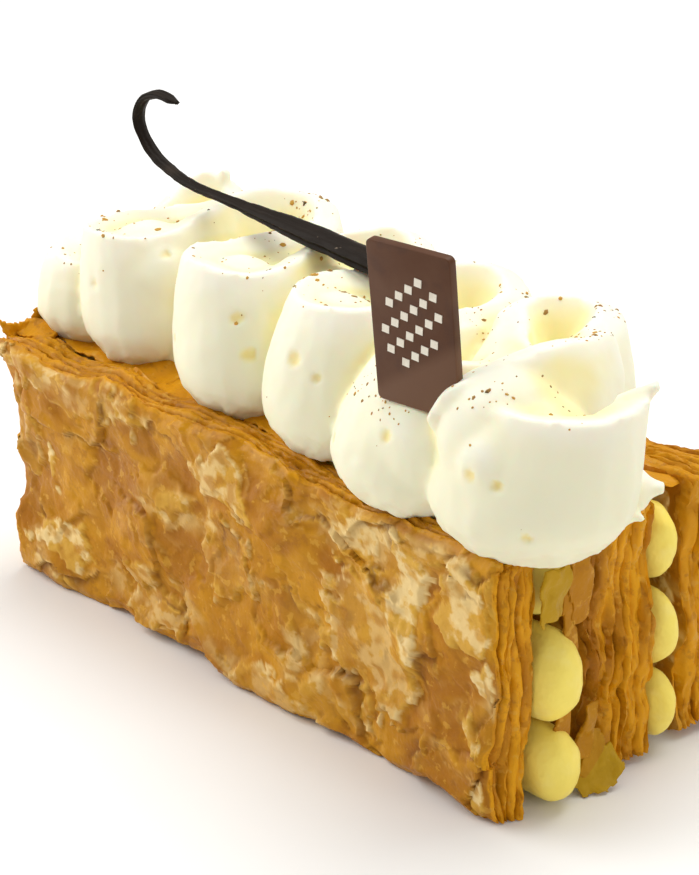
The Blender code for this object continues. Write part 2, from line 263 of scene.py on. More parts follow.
def round_faces(obj, degrees):
    """Shades it smooth, but for the edges sharper than an angle."""
    only(obj)
    bpy.ops.object.shade_smooth_by_angle(angle=math.radians(degrees))


def note(obj, name, values):
    """Stores a number for each point, for the material to read."""
    layer = obj.data.attributes.new(name, "FLOAT", "POINT")
    layer.data.foreach_set("value", values)


def share_out(obj, name, weight):
    """A group of points for a modifier to act on, each with its own weight."""
    group = obj.vertex_groups.new(name=name)
    for v in obj.data.vertices:
        group.add([v.index], weight(v), "REPLACE")


def clamp(value, low=0.0, high=1.0):
    return min(high, max(low, value))


def smooth(low, high, value):
    """0 below low, 1 above high and an S-shaped rise between."""
    t = clamp((value - low) / (high - low))
    return t * t * (3 - 2 * t)


def wave(*place):
    """Smooth noise, about -1 to 1, at three numbers."""
    return noise.noise(Vector(place))


def cloud(x, y, z, octaves=3):
    """Noise in several sizes laid over each other."""
    return noise.fractal(Vector((x, y, z)), 0.7, 2.0, octaves)


def push(obj, name, size, depth, warp=False, **values):
    """Moves the points by clouds of noise: in and out, or about if warp."""
    texture = bpy.data.textures.new(name, "CLOUDS")
    texture.noise_scale = size * MM
    texture.noise_depth = 1 if warp else 2
    texture.cloud_type = "COLOR" if warp else "GRAYSCALE"
    values = {"mid_level": 0.5, "direction": "RGB_TO_XYZ" if warp else "NORMAL", **values}
    finish_with(obj, "DISPLACE", texture=texture, strength=depth * MM, **values)


# ---- materials -----------------------------------------------------------
def add(tree, kind, **values):
    """A shader node with its settings and unlinked input values."""
    node = tree.nodes.new("ShaderNode" + kind)
    for key, value in values.items():
        if hasattr(node, key):
            setattr(node, key, value)
        else:
            node.inputs[key.replace("_", " ")].default_value = value
    return node


def wire(tree, *links):
    """Joins nodes: each row is a node, its output, a node and its input."""
    for source, output, target, socket in links:
        tree.links.new(source.outputs[output], target.inputs[socket])


def shared_group(name, output, **inputs):
    """A node group with one output; its inputs are given with their defaults."""
    tree = bpy.data.node_groups.new(name, "ShaderNodeTree")
    for key, value in inputs.items():
        kind = "NodeSocketVector" if isinstance(value, tuple) else "NodeSocketFloat"
        socket = tree.interface.new_socket(key.replace("_", " "), in_out="INPUT",
                                           socket_type=kind)
        socket.default_value = value
    tree.interface.new_socket(output, in_out="OUTPUT", socket_type="NodeSocketFloat")
    return tree, tree.nodes.new("NodeGroupInput"), tree.nodes.new("NodeGroupOutput")


def make_mottling():
    """Soft blotches: a mask of noise between two levels."""
    tree, inside, outside = shared_group(
        "mottling", "Mask", Scale=100.0, Stretch=(1, 1, 1), Roughness=0.5, Low=0.4,
        High=0.6)
    place = add(tree, "TexCoord")
    turn = add(tree, "Mapping")
    blotch = add(tree, "TexNoise", Detail=4.0)
    level = add(tree, "MapRange", interpolation_type="SMOOTHSTEP")
    wire(tree, (place, "Object", turn, "Vector"), (inside, "Stretch", turn, "Scale"),
         (turn, "Vector", blotch, "Vector"), (inside, "Scale", blotch, "Scale"),
         (inside, "Roughness", blotch, "Roughness"), (blotch, "Fac", level, "Value"),
         (inside, "Low", level, "From Min"), (inside, "High", level, "From Max"),
         (level, "Result", outside, "Mask"))
    return tree


def make_grain():
    """Fine surface grain: a height made of soft lumps and small pits."""
    tree, inside, outside = shared_group(
        "surface grain", "Height", Lump_Scale=400.0, Pit_Scale=900.0, Pits=0.3,
        Stretch=(1, 1, 1))
    place = add(tree, "TexCoord")
    turn = add(tree, "Mapping")
    lumps = add(tree, "TexNoise", Detail=3.0)
    pits = add(tree, "TexVoronoi", feature="SMOOTH_F1")
    share = add(tree, "Math", operation="MULTIPLY")
    total = add(tree, "Math", operation="ADD")
    wire(tree, (place, "Object", turn, "Vector"), (inside, "Stretch", turn, "Scale"),
         (turn, "Vector", lumps, "Vector"), (turn, "Vector", pits, "Vector"),
         (inside, "Lump Scale", lumps, "Scale"), (inside, "Pit Scale", pits, "Scale"),
         (pits, "Distance", share, 0), (inside, "Pits", share, 1),
         (lumps, "Fac", total, 0), (share, "Value", total, 1),
         (total, "Value", outside, "Height"))
    return tree


MOTTLING = make_mottling()
GRAIN = make_grain()


class Finish:
    """A material being put together: a shader and a running colour."""

    def __init__(self, name, colour, roughness, **shader_values):
        self.material = bpy.data.materials.new(name)
        self.material.use_nodes = True
        self.tree = self.material.node_tree
        self.link = self.tree.links.new
        self.shader = self.tree.nodes["Principled BSDF"]
        self.shader.inputs["Roughness"].default_value = roughness
        for key, value in shader_values.items():
            self.shader.inputs[key.replace("_", " ")].default_value = value
        start = add(self.tree, "RGB")
        start.outputs[0].default_value = (*colour, 1.0)
        self.colour = start.outputs[0]

    def mottle(self, scale, low, high, stretch=(1, 1, 1), roughness=0.5):
        """A mask of soft blotches."""
        return add(self.tree, "Group", node_tree=MOTTLING, Scale=scale, Low=low,
                   High=high, Stretch=stretch, Roughness=roughness).outputs["Mask"]

    def ramp(self, along, low, high):
        """A mask that rises along a direction, between two distances in m."""
        place = add(self.tree, "TexCoord")
        run = add(self.tree, "VectorMath", operation="DOT_PRODUCT")
        run.inputs[1].default_value = along
        level = add(self.tree, "MapRange", interpolation_type="SMOOTHSTEP",
                    From_Min=low, From_Max=high)
        wire(self.tree, (place, "Object", run, 0), (run, "Value", level, "Value"))
        return level.outputs["Result"]

    def stored(self, name):
        """A mask that the mesh carries."""
        return add(self.tree, "Attribute", attribute_name=name).outputs["Fac"]

    def times(self, mask, share):
        """A mask made weaker by a number or by another mask."""
        node = add(self.tree, "Math", operation="MULTIPLY")
        self.link(mask, node.inputs[0])
        if isinstance(share, float):
            node.inputs[1].default_value = share
        else:
            self.link(share, node.inputs[1])
        return node.outputs["Value"]

    def tint(self, colour, mask, share=None):
        """Lays a colour over the running one where the mask is."""
        if share is not None:
            mask = self.times(mask, share)
        node = add(self.tree, "Mix", data_type="RGBA")
        self.link(mask, node.inputs[0])
        self.link(self.colour, node.inputs[6])
        node.inputs[7].default_value = (*colour, 1.0)
        self.colour = node.outputs[2]

    def vary_roughness(self, mask, low, high):
        """Lets the roughness run from low to high with the mask."""
        node = add(self.tree, "MapRange", To_Min=low, To_Max=high)
        self.link(mask, node.inputs["Value"])
        self.link(node.outputs["Result"], self.shader.inputs["Roughness"])

    def grain(self, lumps, pits, share, strength, distance, stretch=(1, 1, 1)):
        """Adds fine grain, of lumps with a share of pits."""
        node = add(self.tree, "Group", node_tree=GRAIN, Lump_Scale=lumps,
                   Pit_Scale=pits, Pits=share, Stretch=stretch)
        bump = add(self.tree, "Bump", Strength=strength, Distance=distance)
        self.link(node.outputs["Height"], bump.inputs["Height"])
        self.link(bump.outputs["Normal"], self.shader.inputs["Normal"])
        return self

    def done(self):
        """Connects the running colour and hands over the material."""
        self.link(self.colour, self.shader.inputs["Base Color"])
        return self.material


def pastry_finish():
    f = Finish("baked pastry", (0.48, 0.200, 0.005), 0.45, Specular_IOR_Level=0.14)
    f.tint((0.59, 0.265, 0.008), f.mottle(95, 0.42, 0.60))
    f.tint((0.44, 0.160, 0.008), f.mottle(150, 0.5, 0.66), 0.6)
    f.tint((0.75, 0.335, 0.005), f.stored("cut"), 0.85)
    # browner tint: the crust's and leaves' browning, plus painted shade beside the custard
    # and in one hole
    f.tint((0.35, 0.120, 0.005), f.stored("browned_and_shade"), 0.85)
    f.tint((0.34, 0.125, 0.010), f.mottle(430, 0.56, 0.66, roughness=0.6), 0.45)
    f.tint((0.70, 0.405, 0.060), f.stored("pale"), 0.85)
    f.tint((0.83, 0.61, 0.27), f.mottle(230, 0.46, 0.55), f.stored("pale"))
    f.tint((0.70, 0.38, 0.05), f.mottle(520, 0.60, 0.66), 0.5)
    f.tint((0.17, 0.055, 0.006), f.stored("shade"), 0.8)
    f.tint((0.45, 0.27, 0.008), f.stored("damp"), 0.9)
    f.vary_roughness(f.mottle(120, 0.3, 0.7), 0.28, 0.55)
    return f.grain(700, 1500, 0.35, 0.4, 0.0004).done()


def custard_finish():
    f = Finish("custard cream", (0.96, 0.77, 0.15), 0.45, Specular_IOR_Level=0.25)
    f.tint((0.92, 0.68, 0.09), f.mottle(130, 0.45, 0.7), 0.6)
    f.tint((0.97, 0.82, 0.26), f.mottle(260, 0.5, 0.72), 0.5)
    return f.grain(500, 1300, 0.4, 0.35, 0.0004).done()


def cream_finish():
    f = Finish("whipped cream", (0.93, 0.895, 0.67), 0.5, Specular_IOR_Level=0.22,
               Subsurface_Weight=0.25, Subsurface_Scale=0.004)
    # painted shade: yellower in the hollows
    f.tint((0.95, 0.84, 0.38), f.stored("painted_hollow_shade"), 0.75)
    # painted highlight: paler on up-facing rims
    f.tint((0.95, 0.935, 0.80), f.stored("rim"), 0.8)
    # painted shade: yellower and darker low on the fronts
    f.tint((0.86, 0.83, 0.60), f.stored("low"), 0.8)
    f.tint((0.93, 0.76, 0.24), f.stored("pit"), 0.7)
    f.tint((0.90, 0.86, 0.68), f.mottle(45, 0.45, 0.7), 0.4)
    return f.grain(160, 900, 0.12, 0.12, 0.0005).done()


def pod_finish():
    f = Finish("dried vanilla pod", (0.013, 0.008, 0.005), 0.55, Specular_IOR_Level=0.12)
    f.tint((0.045, 0.030, 0.020), f.mottle(240, 0.5, 0.75, stretch=(0.25, 1, 1)))
    f.tint((0.20, 0.15, 0.11), f.mottle(620, 0.69, 0.74))
    return f.grain(900, 1600, 0.3, 0.5, 0.0004, stretch=(0.15, 1, 1)).done()


def chocolate_finish():
    f = Finish("chocolate", (0.092, 0.034, 0.013), 0.45, Specular_IOR_Level=0.2)
    f.tint((0.135, 0.065, 0.036), f.mottle(90, 0.4, 0.7), 0.6)
    f.tint((0.065, 0.028, 0.017), f.mottle(300, 0.5, 0.7), 0.4)
    f.tint((0.155, 0.075, 0.040), f.ramp((0.55, 0, -0.83), -0.0375, -0.0350), 0.8)
    return f.grain(500, 1500, 0.2, 0.1, 0.0002).done()


def print_finish():
    f = Finish("cocoa butter print", (0.80, 0.74, 0.62), 0.5)
    f.tint((0.62, 0.54, 0.42), f.mottle(900, 0.5, 0.75), 0.5)
    return f.grain(1200, 2500, 0.3, 0.2, 0.0001).done()


def speck_finish():
    f = Finish("vanilla specks", (0.34, 0.19, 0.05), 0.6, Specular_IOR_Level=0.2)
    f.tint((0.55, 0.30, 0.05), f.mottle(190, 0.46, 0.52))
    f.tint((0.10, 0.07, 0.035), f.mottle(330, 0.60, 0.66))
    return f.grain(2000, 3000, 0.4, 0.4, 0.0001).done()


PASTRY = pastry_finish()
CUSTARD = custard_finish()
CREAM = cream_finish()
POD = pod_finish()
CHOCOLATE = chocolate_finish()
PRINT = print_finish()
SPECKS = speck_finish()


def present(obj, material, slot, *nodes):
    """Gives a finished piece its material, hangs it on the root and hides the parts it
    stands in for.
    """
    obj.data.materials.clear()
    obj.data.materials.append(material)
    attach(obj, "root")
    if nodes:
        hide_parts(*nodes)
    return obj


# ---- pastry slabs --------------------------------------------------------
def shingles(x, z, wide, high, seed):
    """Torn sheets that overlap: height, tone of the sheet, and how strongly
    the point lies on a lifted edge (positive) or in the crease under one."""
    at = Vector((x / wide, z / high, seed))
    far, homes = noise.voronoi(at)
    levels = []
    for home in homes[:2]:
        own = noise.noise(home * 9.7)
        tilt_x = noise.noise(home * 5.3 + Vector((7, 0, 0)))
        tilt_z = noise.noise(home * 6.1 + Vector((0, 5, 0)))
        slope = tilt_x * (at.x - home.x) + tilt_z * (at.y - home.y)
        levels.append(1.5 * own + 2.2 * slope)
    step = clamp(2.0 * (levels[0] - levels[1]), -1.0)
    near_edge = 1 - smooth(0.0, 0.16, far[1] - far[0])
    return levels[0], noise.noise(homes[0] * 13.1), near_edge * step


# the larger sheets of the crusts: x, z, half sizes, how pale (below nought: how strong
# the browning) and how much each one stands out. The small pale one at -51.5, 22.5 is a
# painted glint; the dark one at 40.7, 33.9 is a hole, sunk and darkened as painted shade
SHEETS = (
    (28.0, 20.5, 10.5, 12.5, 0.38, 0.8), (48.5, 35.0, 6.5, 7.0, 0.75, 0.7),
    (36.8, 31.0, 3.4, 11.0, 1.0, 0.45), (-5.0, 35.0, 8.0, 5.5, 0.6, 0.6),
    (-50.0, 10.5, 8.0, 4.5, 0.8, 0.4), (-47.0, 41.5, 17.0, 4.5, 0.2, 0.8),
    (-26.0, 6.5, 8.5, 5.5, 0.3, 0.9), (-5.0, 21.0, 7.0, 6.0, 0.12, 0.6),
    (24.0, 38.5, 5.5, 4.5, 0.7, 0.3), (52.0, 24.0, 3.0, 3.2, 1.0, 0.5),
    (52.5, 14.0, 2.6, 3.0, 1.0, 0.5), (53.8, 4.0, 2.4, 2.8, 0.9, 0.5),
    (-51.5, 22.5, 1.5, 2.6, 1.0, 0.3), (-61.0, 28.0, 5.0, 9.0, 0.25, 0.5),
    (-35.0, 27.0, 8.5, 7.0, -0.8, -0.5), (-15.5, 22.0, 6.5, 6.5, -0.7, -0.4),
    (9.5, 16.5, 10.0, 5.0, -0.6, -0.4), (43.5, 16.5, 6.5, 8.5, -0.8, -0.4),
    (40.7, 33.9, 2.2, 2.6, -1.0, -0.7), (4.0, 3.0, 9.0, 4.0, 0.3, 0.3),
)


def torn_sheets(x, z, bend_x, bend_z):
    """Height, paleness and browning that the larger sheets add at x, z; one pale
    spot is a painted glint and one dark hole holds painted shade.
    """
    proud = pale = brown_and_shade = 0.0
    for at_x, at_z, half_x, half_z, light, lift in SHEETS:
        far = math.hypot((bend_x - at_x) / half_x, (bend_z - at_z) / half_z)
        if far > 1.7:
            continue
        far += 0.42 * wave(x / 3.4, z / 3.4, at_x)
        far += 0.22 * wave(x / 1.2, z / 1.2, at_z)
        inside = 1 - smooth(0.90, 1.0, far)
        proud += lift * inside
        blotch = 0.3 + 0.8 * smooth(-0.25, -0.02, wave(x / 2.6, z / 2.6, at_x + 9))
        if light > 0:
            rim = inside * smooth(0.78, 0.95, far)
            pale = max(pale, light * inside * blotch + 0.7 * rim)
        else:
            brown_and_shade = max(brown_and_shade, -light * inside * min(1.0, blotch + 0.2))
    return proud, pale, brown_and_shade


def crust(x, z, seed):
    """The baked outside at x, z in mm: how proud it stands, then how pale, how
    strong its browning (with painted shade in one hole) and how much painted shade lies in
    its creases."""
    bend_x = x + 4.0 * wave(x / 8, z / 8, seed) + wave(x / 2.4, z / 2.4, seed + 3)
    bend_z = z + 4.0 * wave(x / 8, z / 8, seed + 9) + wave(x / 2.4, z / 2.4, seed + 4)
    sheet, tone, edge = shingles(bend_x, bend_z, 19, 12, seed)
    flake, flake_tone, flake_edge = shingles(bend_x, bend_z, 8, 5.5, seed + 31)
    island = smooth(0.14, 0.20, cloud(bend_x / 9, bend_z / 8, seed + 40, 2))
    swell = 0.7 * cloud(x / 26, z / 19, seed + 2, 2)
    fine = 0.15 * cloud(x / 3.2, z / 2.7, seed + 6, 3)
    big, big_pale, big_brown_and_shade = torn_sheets(x, z, bend_x, bend_z)
    proud = swell + fine + 0.66 * sheet + 0.12 * flake + 0.26 * island + big - 0.40
    patch = smooth(0.10, 0.45, cloud(x / 21, z / 15, seed + 80, 2) + 0.35 * tone)
    torn = smooth(-0.1, 0.25, wave(x / 6, z / 6, seed + 61))
    lifted = (0.8 * max(0.0, edge) + 0.5 * max(0.0, flake_edge)) * (0.3 + 0.7 * torn)
    pale = lifted * (0.35 + 0.65 * patch) + patch * (0.15 + 0.6 * max(0.0, flake_tone))
    pale = min(1.0, max(0.75 * pale + 0.35 * island * patch, big_pale))
    brown_and_shade = smooth(-0.10, 0.5, cloud(x / 13, z / 10, seed + 99, 3) - 0.5 * tone)
    brown_and_shade = max(0.75 * brown_and_shade, big_brown_and_shade) * (1 - 0.8 * pale)
    shade = min(1.0, 0.85 * max(0.0, -edge) + 0.35 * max(0.0, -flake_edge))
    return proud, pale, brown_and_shade, shade * (0.2 + 0.8 * torn)


def leaves(x, y, z, along, seed):
    """The cut leaves at a point in mm, y counted from the crust: how deep the
    surface lies, how much painted shade lies in the gap and how strong the
    leaf's browning is. `along` runs along the leaf's edge."""
    y += 0.8 * wave(x / 21, z / 15, seed)
    y += 0.18 * wave(x / 5.5, z / 4.5, seed + 5)
    s = (y - CRUST_THICK) / LEAF_PITCH
    s += 0.75 * wave(s * 0.7, along / 26, seed + 11)
    leaf = math.floor(s)
    lip = min(s - leaf, leaf + 1 - s)
    wide = 0.10 + 0.16 * wave(leaf * 3.3, along / 9, seed + 7)
    gap = 1 - smooth(0.0, max(0.04, wide), lip)
    deep = 0.75 + 1.5 * wave(leaf * 5.1, along / 8, seed + 8)
    reach = 1.3 * wave(leaf * 7.7, along / 14, seed + 3)
    reach += 0.5 * wave(leaf * 2.9, along / 3.6, seed + 4)
    inner = abs(wave(s * 3.4, along / 13, seed + 21))
    lines = 0.45 * (1 - smooth(0.0, 0.16, inner))
    crumb = 0.25 * cloud(x / 1.6, y / 1.1, z / 2.1, 2)
    round_off = 0.6 * (1 - 2 * lip) ** 3
    tone = smooth(-0.15, 0.45, wave(leaf * 4.3, along / 17, seed + 17))
    return (1.2 - reach + gap * max(0.15, deep) + round_off + lines - crumb,
            min(1.0, gap * clamp(deep / 1.5) + 0.5 * lines), 0.75 * tone)


# the sides of a slab, the axis each is carved along and which way is inward
CARVINGS = (("left", "X", 1), ("right", "X", -1), ("front", "Y", 1), ("back", "Y", -1),
            ("bottom", "Z", 1), ("top", "Z", -1))


class Block:
    """A slab's outer sizes in mm before carving. crust_side is -1 or 1 for the
    y side that shows, 0 for a slab with both sides hidden."""

    def __init__(self, name, crust_side):
        low, high = (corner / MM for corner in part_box(name))
        self.crust_side = crust_side
        self.slant = END_SLANT * (high.y - low.y)
        self.left = low.x + END_INSET
        self.right = high.x - END_INSET - self.slant
        self.y0 = low.y - (CRUST_PROUD if crust_side < 0 else 0)
        self.y1 = high.y + (CRUST_PROUD if crust_side > 0 else 0)
        self.top = high.z + TOP_PROUD
        self.slanted_from = high.y - 1.5

    def end_x(self, y):
        """Where the slanted right end lies at y."""
        return self.right + self.slant * (y - self.y0) / (self.y1 - self.y0)

    def far(self, x, y, z):
        """How far a point lies from each side."""
        return {"left": x - self.left, "right": self.end_x(y) - x, "front": y - self.y0,
                "back": self.y1 - y, "bottom": z, "top": self.top - z}

    def mesh(self, name, steps):
        """The block as a cube whose edges are cut into many."""
        middle = Vector((self.left + self.right, self.y0 + self.y1, self.top)) * MM / 2
        bpy.ops.mesh.primitive_cube_add(
            size=MM, location=middle,
            scale=(self.right - self.left, self.y1 - self.y0, self.top))
        obj = settled(name)
        bpy.ops.object.mode_set(mode="EDIT")
        pick(obj, "VERT", lambda v: v.co.x > 0 and v.co.y > self.slanted_from * MM)
        bpy.ops.transform.translate(value=(self.slant * MM, 0, 0))
        for axis, counts in enumerate(steps):
            divide(obj, axis, counts)
        bpy.ops.object.mode_set(mode="OBJECT")
        return obj


def carve(x, y, z, block, seed):
    """How deep each near side is carved at a point, as a share of DEEPEST, and
    how pale, how strong the browning, how much painted shade and how freshly cut
    the point is; on the middle slab the browning also carries painted shade
    beside the front custard."""
    crust_side = block.crust_side
    far = block.far(x, y, z)
    across = far["front"] if crust_side <= 0 else far["back"]
    to_end = min(far["left"], far["right"])
    to_edge = min(to_end, far["bottom"], far["top"])
    near = {side: 1 - d / BLEND for side, d in far.items() if d < BLEND}
    deep = {}
    dark = light = brown_and_shade = cut = 0.0
    for side, shows in (("front", crust_side < 0), ("back", crust_side > 0)):
        if side in near:
            proud, *tones = crust(x, z, seed if shows else seed + 50)
            round_off = 0.8 * (1 - smooth(0.0, 2.2, to_edge)) ** 2
            deep[side] = CRUST_PROUD - proud + round_off if shows else 0.3 - 0.25 * proud
            if far[side] < ON_SIDE:
                light, brown_and_shade, dark = tones
    for side, at_x in (("left", block.left), ("right", block.end_x(y))):
        if side in near:
            deep[side], gap, tone = leaves(at_x, across, z, z, seed)
            if far[side] < ON_SIDE:
                # painted shade beside the front custard, carried with the leaves' browning
                if crust_side == 0:
                    tone = max(tone, 1 - smooth(*DARK_ACROSS, across))
                dark, brown_and_shade, cut = gap, tone, 1.0
    if "top" in near:
        depth, gap, tone = leaves(x, across, block.top, x, seed)
        deep["top"] = 0.75 * depth
        if far["top"] < ON_SIDE:
            dark, brown_and_shade, cut = gap, 0.6 * tone, 0.6
    if "bottom" in near:
        torn = 0.5 + 0.5 * wave(x / 9, 0, seed + 30)
        deep["bottom"] = (0.35 + 0.45 * cloud(x / 9, y / 3, seed, 2)
                          + torn * (1 if across < ON_SIDE else 0.2)
                          + 0.5 * (1 - smooth(0.0, 6.0, to_end))
                          * leaves(x, across, 0, 0, seed)[0])
        if crust_side < 0:
            deep["bottom"] *= smooth(2.0, 14.0, far["right"])
    shares = {side: clamp(depth / DEEPEST) * near[side] for side, depth in deep.items()}
    if sum(d < ON_SIDE for d in far.values()) > 1:  # on an edge of the block
        light, dark = 0.6 * light, 0.4 * dark
    return shares, (light, brown_and_shade, dark, cut)


def slab(name, seed, crust_side, steps):
    """One slab: a block carved into leaves and crust, then bent a little."""
    block = Block(name, crust_side)
    obj = block.mesh(name + "_leaves", steps)
    groups = {side: obj.vertex_groups.new(name=side) for side, _, _ in CARVINGS}
    looks = []
    for v in obj.data.vertices:
        shares, tones = carve(*(v.co / MM), block, seed)
        looks.append(tones)
        for side, share in shares.items():
            groups[side].add([v.index], share, "REPLACE")
    for kind, values in zip(("pale", "browned_and_shade", "shade", "cut"), zip(*looks)):
        note(obj, kind, values)
    for side, axis, inward in CARVINGS:
        finish_with(obj, "DISPLACE", direction=axis, strength=inward * DEEPEST * MM,
                    mid_level=0.0, vertex_group=side)
    push(obj, "slow warp", WARP_SIZE, WARP_DEPTH, warp=True)
    push(obj, "quick warp", RIPPLE_SIZE, CRUST_RIPPLE if crust_side else CUT_RIPPLE,
         warp=True)
    if crust_side < 0:
        for v in obj.data.vertices:
            flare = smooth(*FLARE_ALONG, v.co.x / MM) * (1 - smooth(*FLARE_UP, v.co.z / MM))
            v.co += Vector(FOOT_FLARE) * flare * MM
    stand_on_floor(obj)
    round_faces(obj, 62)
    present(obj, PASTRY, "baked_crust", name)


slab("pastry_front", 3.0, -1, ((16, 17), (34,), (8, 12)))
slab("pastry_middle", 14.0, 0, ((14, 13), (44,), (8, 11)))
slab("pastry_back", 27.0, 1, ((16, 15), (40,), (8, 11)))


# ---- loose leaves --------------------------------------------------------
LOOSE = (  # centre, size, turn in degrees, curl in degrees, how damp
    ((57.6, -6.5, 10.5), (3.8, 10.5), (90, 12, 80), 60, 0.25),
    ((57.8, -4.9, 6.5), (4.8, 7.5), (82, 22, 75), 50, 0.45),
    ((57.0, -8.6, 35.0), (4.4, 13.0), (90, -5, 85), 50, 0.1),
    ((56.6, -10.2, 24.0), (3.0, 34.0), (90, 2, 84), 30, 0.15),
    ((58.8, -4.6, 3.4), (9.5, 6.5), (68, -22, 75), 35, 1.0),
    ((57.9, -14.8, 37.0), (5.5, 9.0), (90, 0, 90), 35, 0.9),
    ((-65.4, -20.6, 42.8), (6.0, 7.0), (78, 12, 95), 25, 0.0),
    ((-65.8, -15.5, 43.4), (7.0, 6.5), (74, -18, 88), 30, 0.0),
    ((-63.0, -17.0, 44.6), (9.0, 5.0), (24, 0, 20), 20, 0.0),
    ((-47.0, -13.6, 43.5), (36.0, 6.0), (18, 0, 1), 16, 0.0),
    ((-27.0, -11.0, 43.0), (38.0, 5.5), (8, 0, -1), 14, 0.0),
    ((-28.0, -14.2, 43.0), (22.0, 5.0), (14, 0, 1), 12, 0.0),
    ((-6.0, -14.2, 43.8), (34.0, 5.0), (22, 0, 2), 16, 0.0),
    ((18.0, -13.4, 43.5), (36.0, 5.5), (15, 0, -2), 12, 0.0),
    ((40.0, -14.0, 43.6), (32.0, 5.5), (18, 0, 1), 12, 0.0),
    ((10.0, 15.0, 43.4), (90.0, 6.0), (-16, 0, 0), 10, 0.0),
)


def loose_leaf(n, centre, size, turn, curl, damp):
    """A grid with a torn outline, bent, thickened and crumpled."""
    bpy.ops.mesh.primitive_grid_add(x_subdivisions=LEAF_GRID[0],
                                    y_subdivisions=LEAF_GRID[1], size=1)
    obj = name_it("loose_leaf")
    bpy.ops.object.mode_set(mode="EDIT")
    bpy.ops.transform.resize(value=(size[0], size[1], 1))

    def outside(face):
        at = face.calc_center_median()
        rim = min(size[0] / 2 - abs(at.x), size[1] / 2 - abs(at.y))
        return rim < (0.4 + 0.9 * wave(at.x / 4.0, at.y / 4.0, 3.0 * n)
                      + 0.3 * wave(at.x, at.y, 3.0 * n))

    pick(obj, "FACE", outside)
    bpy.ops.mesh.delete(type="FACE")
    bpy.ops.object.mode_set(mode="OBJECT")
    finish_with(obj, "SIMPLE_DEFORM", deform_method="BEND", deform_axis="X",
                angle=math.radians(curl))
    finish_with(obj, "SOLIDIFY", thickness=LEAF_THICK, offset=0.0)
    turned = (Matrix.Rotation(math.radians(turn[2]), 4, "Z")
              @ Matrix.Rotation(math.radians(turn[1]), 4, "Y")
              @ Matrix.Rotation(math.radians(turn[0]), 4, "X"))
    place = Matrix.Translation(Vector(centre) * MM) @ turned @ Matrix.Scale(MM, 4)
    obj.data.transform(place)
    # painted shade on the leaves beside the middle slab; the others only a little browner
    browned_and_shade = 0.75 if -11 < centre[1] < 0 else 0.1  # most beside the middle slab
    for kind, amount in (("damp", damp), ("cut", 0.8 - 0.8 * damp), ("browned_and_shade", browned_and_shade)):
        note(obj, kind, [amount] * len(obj.data.vertices))
    return obj


def loose_leaves():
    obj = join("loose_leaves", [loose_leaf(n, *row) for n, row in enumerate(LOOSE)])
    push(obj, "quick warp", RIPPLE_SIZE, LOOSE_RIPPLE, warp=True)
    finish_with(obj, "SUBSURF", levels=1, render_levels=1)
    push(obj, "leaf grain", 1.6, 0.35)
    stand_on_floor(obj)
    round_faces(obj, 60)
    present(obj, PASTRY, "baked_crust")


loose_leaves()


# ---- custard ropes -------------------------------------------------------
def rope(gap, level):
    """A ball pulled out into a rope with domed ends, a little lumpy."""
    name = f"custard_{gap}_{level}"
    low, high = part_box(name)
    middle = (low + high) / 2 - Vector((0, ROPE_FORWARD[gap], 0)) * MM
    half = (high - low) / 2 + Vector((0, 0.1, 0.1)) * MM
    dome = ROPE_DOME * half.z
    bpy.ops.mesh.primitive_uv_sphere_add(
        segments=40, ring_count=24, radius=1.0, rotation=(0, math.radians(90), 0),
        location=(low.x + dome, middle.y, middle.z), scale=(half.z, half.y, dome))
    obj = settled(name + "_piped")
    run = high.x - low.x - 2 * dome
    bpy.ops.object.mode_set(mode="EDIT")
    start = low.x + dome
    pick(obj, "VERT", lambda v: v.co.x > start + 0.05 * MM)
    bpy.ops.transform.translate(value=(run, 0, 0))
    pick(obj, "EDGE", lambda e: abs(e.verts[1].co.x - e.verts[0].co.x) > run / 2)
    bpy.ops.mesh.subdivide(number_cuts=ROPE_CUTS)
    bpy.ops.object.mode_set(mode="OBJECT")
    push(obj, name + " lumps", 8, 1.3)
    push(obj, name + " ripples", 2.4, 0.35)
    only(obj)
    bpy.ops.object.shade_smooth()
    present(obj, CUSTARD, "custard", name)


for rope_gap in ROPE_FORWARD:
    for rope_level in (1, 2, 3):
        rope(rope_gap, rope_level)


# ---- whipped cream -------------------------------------------------------
def smooth_route(points, count, axes=2):
    """count + 1 even rows along a Catmull-Rom curve through rows of numbers."""
    rows = np.array(points, float)
    rows = np.vstack((2 * rows[0] - rows[1], rows, 2 * rows[-1] - rows[-2]))
    t = np.linspace(0.0, 1.0, 24, endpoint=False)[:, None]
    spans = [0.5 * (2 * b + (c - a) * t + (2 * a - 5 * b + 4 * c - d) * t**2
                    + (3 * b - a - 3 * c + d) * t**3)
             for a, b, c, d in zip(rows, rows[1:], rows[2:], rows[3:])]
    fine = np.vstack((*spans, rows[-2]))
    run = np.r_[0.0, np.cumsum(np.linalg.norm(np.diff(fine[:, :axes], axis=0), axis=1))]
    even = np.linspace(0.0, run[-1], count + 1)
    return np.stack([np.interp(even, run, column) for column in fine.T], axis=1)


def ribbon_stations():
    bends = [FRONT_BENDS[0]]
    for back, front in zip(BACK_BENDS, FRONT_BENDS[1:]):
        bends += [back, front]
    stations = [RIBBON_START]
    for n, (x, y, turn, half, high, *lean) in enumerate(bends):
        front = n % 2 == 0
        inward = 0.85 * turn if front else -0.85 * turn
        # each pass sinks on its way forward, which opens the folds to the left
        sink = SUNK if 0 < n < len(bends) - 2 else 0.0
        stations += [(x - turn, y + inward, half, high - 0.2 * sink * front, *lean),
                     (x, y, half, high, *lean),
                     (x + turn, y + inward, half, high - sink * (not front), *lean)]
    return stations + [RIBBON_END]


def ribbon_half(half, v):
    """Half thickness at share v of the height: tucked foot, belly, rim."""
    if v < BELLY_AT:
        return half * (FOOT_SHARE + (1 - FOOT_SHARE)
                       * math.sin(0.5 * math.pi * v / BELLY_AT))
    up = (v - BELLY_AT) / (1 - BELLY_AT)
    return RIM_HALF + (half - RIM_HALF) * (1 - up**1.8)


